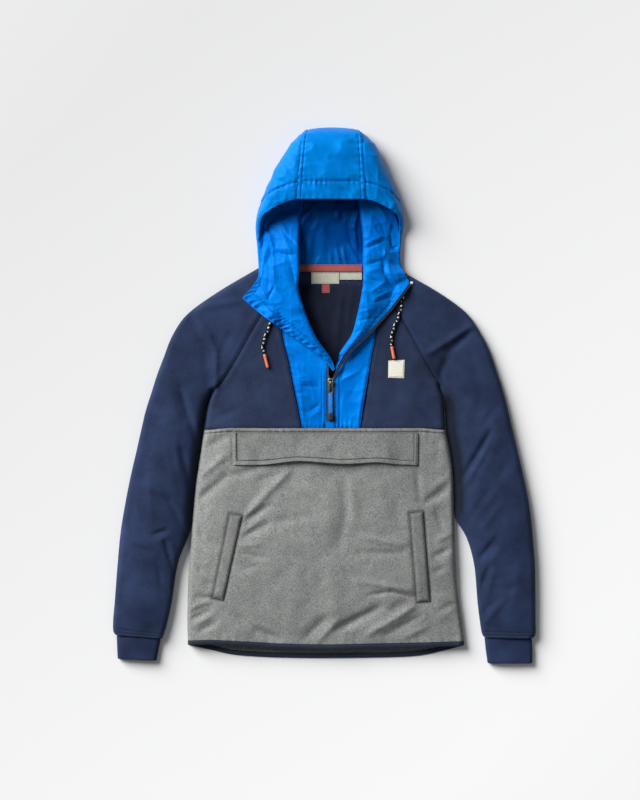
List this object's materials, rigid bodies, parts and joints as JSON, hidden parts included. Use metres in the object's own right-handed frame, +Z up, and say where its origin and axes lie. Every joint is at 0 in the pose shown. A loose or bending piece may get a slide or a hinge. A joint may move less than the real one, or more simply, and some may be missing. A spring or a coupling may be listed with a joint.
{
  "type": "hooded half-zip fleece jacket",
  "caption": "hooded half-zip pullover jacket of marl grey and navy fleece with a blue padded hood, lying flat on its back with the neck turned open",
  "frame": {"origin": "on the surface the jacket lies on, under the middle of its outline", "axes": "X across the chest to the right as seen from above, Y from the hem to the hood, Z up from the surface"},
  "size_m": [0.802, 1.0159, 0.0546],
  "materials": {
    "navy_fleece": "brushed knitted fleece",
    "grey_fleece": "brushed knitted fleece, marl",
    "blue_nylon": "smooth woven nylon, light sheen",
    "blue_lining": "smooth woven lining, light sheen",
    "navy_binding": "stretch binding",
    "coral_tape": "woven tape",
    "off_white_label": "woven label, blank",
    "zip_tape": "zip tape with moulded teeth",
    "gunmetal": "antique gunmetal plate",
    "end_stop_plastic": "moulded",
    "pull_strap": "woven tape",
    "pull_end_plastic": "moulded",
    "flecked_cord": "braided cord with light flecks",
    "orange_tip": "moulded"
  },
  "bodies": {
    "garment": {"back_lower": "grey_fleece", "back_upper": "navy_fleece", "front_lower": "grey_fleece", "front_upper_left": "navy_fleece", "front_upper_right": "navy_fleece", "sleeve_left": "navy_fleece", "sleeve_right": "navy_fleece", "cuff_left": "navy_fleece", "cuff_right": "navy_fleece", "placket_left": "blue_nylon", "placket_right": "blue_nylon", "hood_side_left": "blue_nylon", "hood_side_right": "blue_nylon", "hood_gusset": "blue_nylon", "facing_left": "blue_lining", "facing_right": "blue_lining", "zip_tape_left": "zip_tape", "zip_tape_right": "zip_tape", "zip_tape_turned_left": "zip_tape", "zip_tape_turned_right": "zip_tape", "zip_end_stop": "end_stop_plastic", "zip_garage": "blue_nylon", "zip_slider": "gunmetal", "chest_flap": "grey_fleece", "flap_binding": "grey_fleece", "welt_left": "grey_fleece", "welt_right": "grey_fleece", "hem_binding_front": "navy_binding", "hem_binding_back": "navy_binding", "neck_tape": "coral_tape", "main_label": "off_white_label", "size_label": "off_white_label", "loop_tab": "coral_tape", "chest_patch": "off_white_label", "drawcord_left": "flecked_cord", "drawcord_right": "flecked_cord", "cord_tip_left": "orange_tip", "cord_tip_right": "orange_tip"},
    "zip_pull": {"pull_tab": "gunmetal", "pull_strap": "pull_strap", "pull_end": "pull_end_plastic"}
  },
  "joints": [
    {"name": "pull_hinge", "type": "hinge", "parent": "garment", "child": "zip_pull", "pos_m": [0.0125, 0.026, 0.03186], "axis": [-1, 0, 0], "range_deg": [0, 150]}
  ]
}
